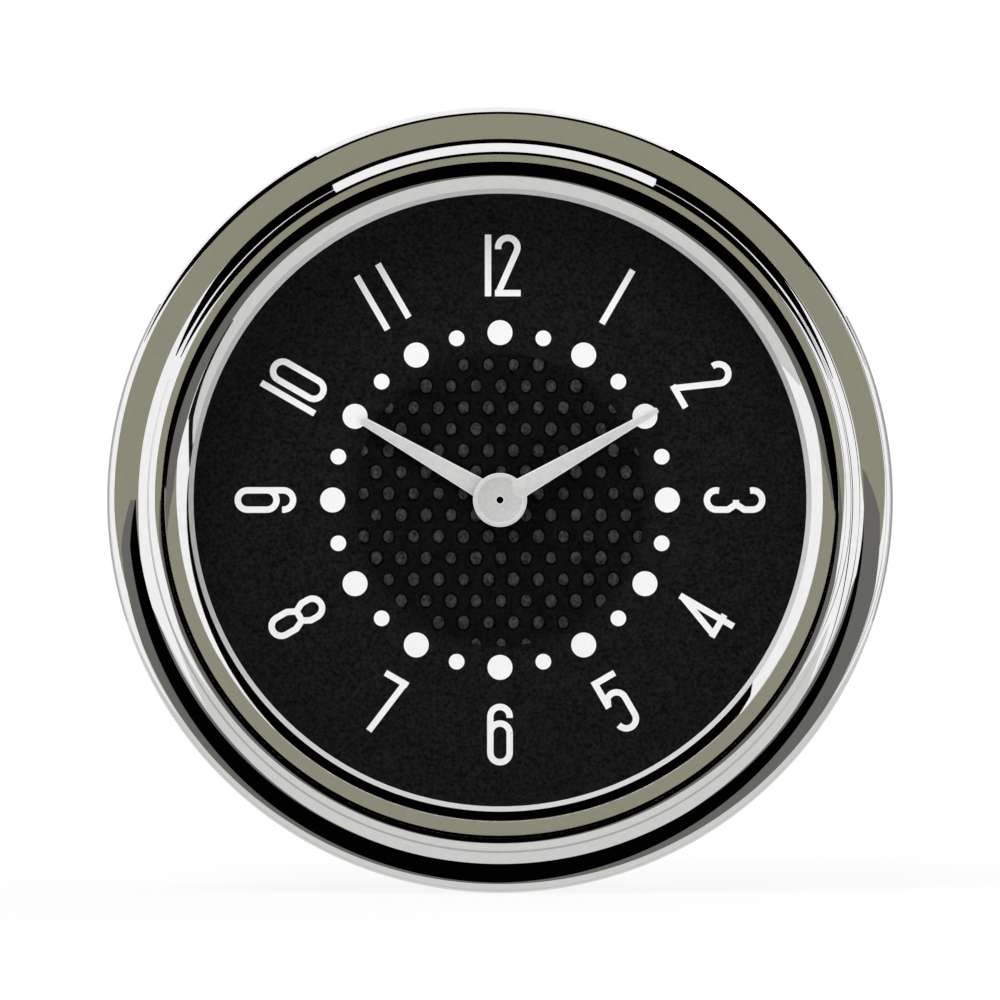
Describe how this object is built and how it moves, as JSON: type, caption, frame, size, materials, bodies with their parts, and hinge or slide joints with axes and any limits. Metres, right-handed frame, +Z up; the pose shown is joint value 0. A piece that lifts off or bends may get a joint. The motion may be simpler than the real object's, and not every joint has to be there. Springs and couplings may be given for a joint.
{
  "type": "dashboard clock",
  "caption": "Round panel clock: stepped chrome bezel, flat glass, black dial with raised-dot centre, grey hands, quartz movement in a steel can, rear setting knob and U-clamp.",
  "frame": {"origin": "on the clock's axis, in the plane where the back of the bezel meets the panel", "axes": "+Y along the clock's axis, into the panel; the dial faces -Y; +Z up, towards 12"},
  "size_m": [0.0604, 0.0558, 0.0604],
  "materials": {
    "chrome": "polished",
    "lens_glass": "clear",
    "gasket_rubber": "matte",
    "trim_paint": "satin",
    "dial_black": "matte",
    "print_white": "matte",
    "hand_grey": "satin",
    "case_steel": "satin",
    "zinc_steel": "satin",
    "bright_steel": "bright",
    "brass": "satin",
    "terminal_brass": "satin",
    "black_plastic": "matte",
    "nylon_white": "matte",
    "board_green": "satin",
    "magnet_grey": "matte",
    "stator_steel": "satin",
    "coil_copper": "glossy",
    "can_aluminium": "satin",
    "bulb_glass": "clear"
  },
  "bodies": {
    "case": {"bezel": "chrome", "lens": "lens_glass", "lens_gasket": "gasket_rubber", "case_gasket": "gasket_rubber", "trim_ring": "trim_paint", "dial_plate": "dial_black", "dial_numerals": "print_white", "dial_dots": "print_white", "case_shell": "case_steel", "case_screws": "zinc_steel", "plate_screws": "zinc_steel", "stud_nuts": "zinc_steel", "set_bush": "brass", "dial_feet": "brass", "plate_pillars": "brass", "board_spacers": "brass", "rear_spacers": "brass", "stator_posts": "brass", "mounting_studs": "brass", "front_plate": "brass", "back_plate": "brass", "power_terminals": "terminal_brass", "lamp_holders": "black_plastic", "control_chip": "black_plastic", "terminal_insulators": "nylon_white", "coil_bobbin": "nylon_white", "circuit_board": "board_green", "stator": "stator_steel", "coil_core": "stator_steel", "coil_winding": "coil_copper", "quartz_crystal": "can_aluminium", "capacitor": "can_aluminium", "lamp_bulbs": "bulb_glass"},
    "minute_train": {"minute_hand": "hand_grey", "cannon_pinion": "brass"},
    "hour_train": {"hour_hand": "hand_grey", "hour_wheel": "brass"},
    "setting_train": {"minute_wheel": "brass", "set_arbor": "bright_steel", "set_knob": "black_plastic"},
    "centre_train": {"centre_arbor": "bright_steel", "centre_wheel": "brass"},
    "third_train": {"third_arbor": "bright_steel", "third_wheel": "brass"},
    "fourth_train": {"fourth_arbor": "bright_steel", "fourth_wheel": "brass"},
    "fifth_train": {"fifth_arbor": "bright_steel", "fifth_wheel": "brass"},
    "rotor": {"rotor_arbor": "bright_steel", "rotor_magnet": "magnet_grey"},
    "clamp": {"clamp_bracket": "zinc_steel", "clamp_washers": "zinc_steel"},
    "nut_left": {"thumb_nut_left": "brass"},
    "nut_right": {"thumb_nut_right": "brass"}
  },
  "joints": [
    {"name": "minute_turn", "type": "hinge", "parent": "case", "child": "minute_train", "pos_m": [0, 0, 0], "axis": [0, 1, 0], "continuous": true},
    {"name": "hour_turn", "type": "hinge", "parent": "case", "child": "hour_train", "pos_m": [0, 0, 0], "axis": [0, 1, 0], "continuous": true},
    {"name": "set_turn", "type": "hinge", "parent": "case", "child": "setting_train", "pos_m": [0, 0, -0.008], "axis": [0, 1, 0], "continuous": true},
    {"name": "fourth_turn", "type": "hinge", "parent": "case", "child": "fourth_train", "pos_m": [-0.0023, 0, 0.00829], "axis": [0, 1, 0], "continuous": true},
    {"name": "third_turn", "type": "hinge", "parent": "case", "child": "third_train", "pos_m": [-0.00624, 0, 0.0036], "axis": [0, 1, 0], "continuous": true},
    {"name": "centre_turn", "type": "hinge", "parent": "case", "child": "centre_train", "pos_m": [0, 0, 0], "axis": [0, 1, 0], "continuous": true},
    {"name": "fifth_turn", "type": "hinge", "parent": "case", "child": "fifth_train", "pos_m": [0.00213, 0, 0.00751], "axis": [0, 1, 0], "continuous": true},
    {"name": "rotor_turn", "type": "hinge", "parent": "case", "child": "rotor", "pos_m": [0.00608, 0, 0.00607], "axis": [0, 1, 0], "continuous": true},
    {"name": "clamp_slide", "type": "slide", "parent": "case", "child": "clamp", "axis": [0, 1, 0], "range_m": [-0.0052, 0.0084]},
    {"name": "nut_left_turn", "type": "hinge", "parent": "clamp", "child": "nut_left", "pos_m": [-0.019, 0, 0], "axis": [0, 1, 0], "range_deg": [-2680, 4330]},
    {"name": "nut_right_turn", "type": "hinge", "parent": "clamp", "child": "nut_right", "pos_m": [0.019, 0, 0], "axis": [0, 1, 0], "range_deg": [-2680, 4330]}
  ],
  "couplings": [
    {"joint": "hour_turn", "follows": "minute_turn", "ratio": 0.083333},
    {"joint": "set_turn", "follows": "minute_turn", "ratio": -0.33333},
    {"joint": "third_turn", "follows": "fourth_turn", "ratio": -0.13333},
    {"joint": "centre_turn", "follows": "fourth_turn", "ratio": 0.016667},
    {"joint": "fifth_turn", "follows": "fourth_turn", "ratio": -5},
    {"joint": "rotor_turn", "follows": "fourth_turn", "ratio": 30},
    {"joint": "nut_left_turn", "follows": "clamp_slide", "rad_per_m": 8976},
    {"joint": "nut_right_turn", "follows": "clamp_slide", "rad_per_m": 8976}
  ]
}
